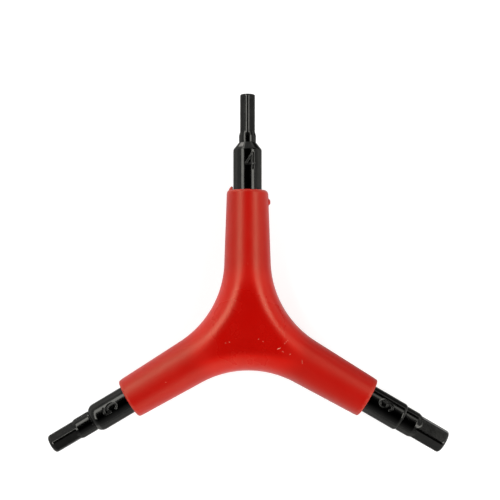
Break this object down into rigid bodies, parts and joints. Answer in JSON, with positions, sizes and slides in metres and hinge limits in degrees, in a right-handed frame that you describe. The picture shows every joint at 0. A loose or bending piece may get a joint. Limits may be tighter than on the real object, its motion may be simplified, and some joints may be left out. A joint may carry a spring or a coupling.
{
  "type": "three-way hex wrench",
  "caption": "Y-shaped hand wrench: a moulded plastic handle with a steel hex bit of a different size standing out of each arm.",
  "frame": {"origin": "middle of the hub, on the flat back deck that the wrench lies on", "axes": "+Z out of the front deck, +Y along the arm of the 4 mm bit, +X to the right with that arm up, so the 5 mm bit points down to the left and the 6 mm bit down to the right"},
  "size_m": [0.1083, 0.0967, 0.0131],
  "materials": {
    "moulded_plastic": "fine moulded satin, red",
    "black_oxide_steel": "black oxide on turned and ground steel"
  },
  "bodies": {
    "root": {"handle": "moulded_plastic", "hex_bit_4mm": "black_oxide_steel", "hex_bit_5mm": "black_oxide_steel", "hex_bit_6mm": "black_oxide_steel"}
  },
  "joints": []
}
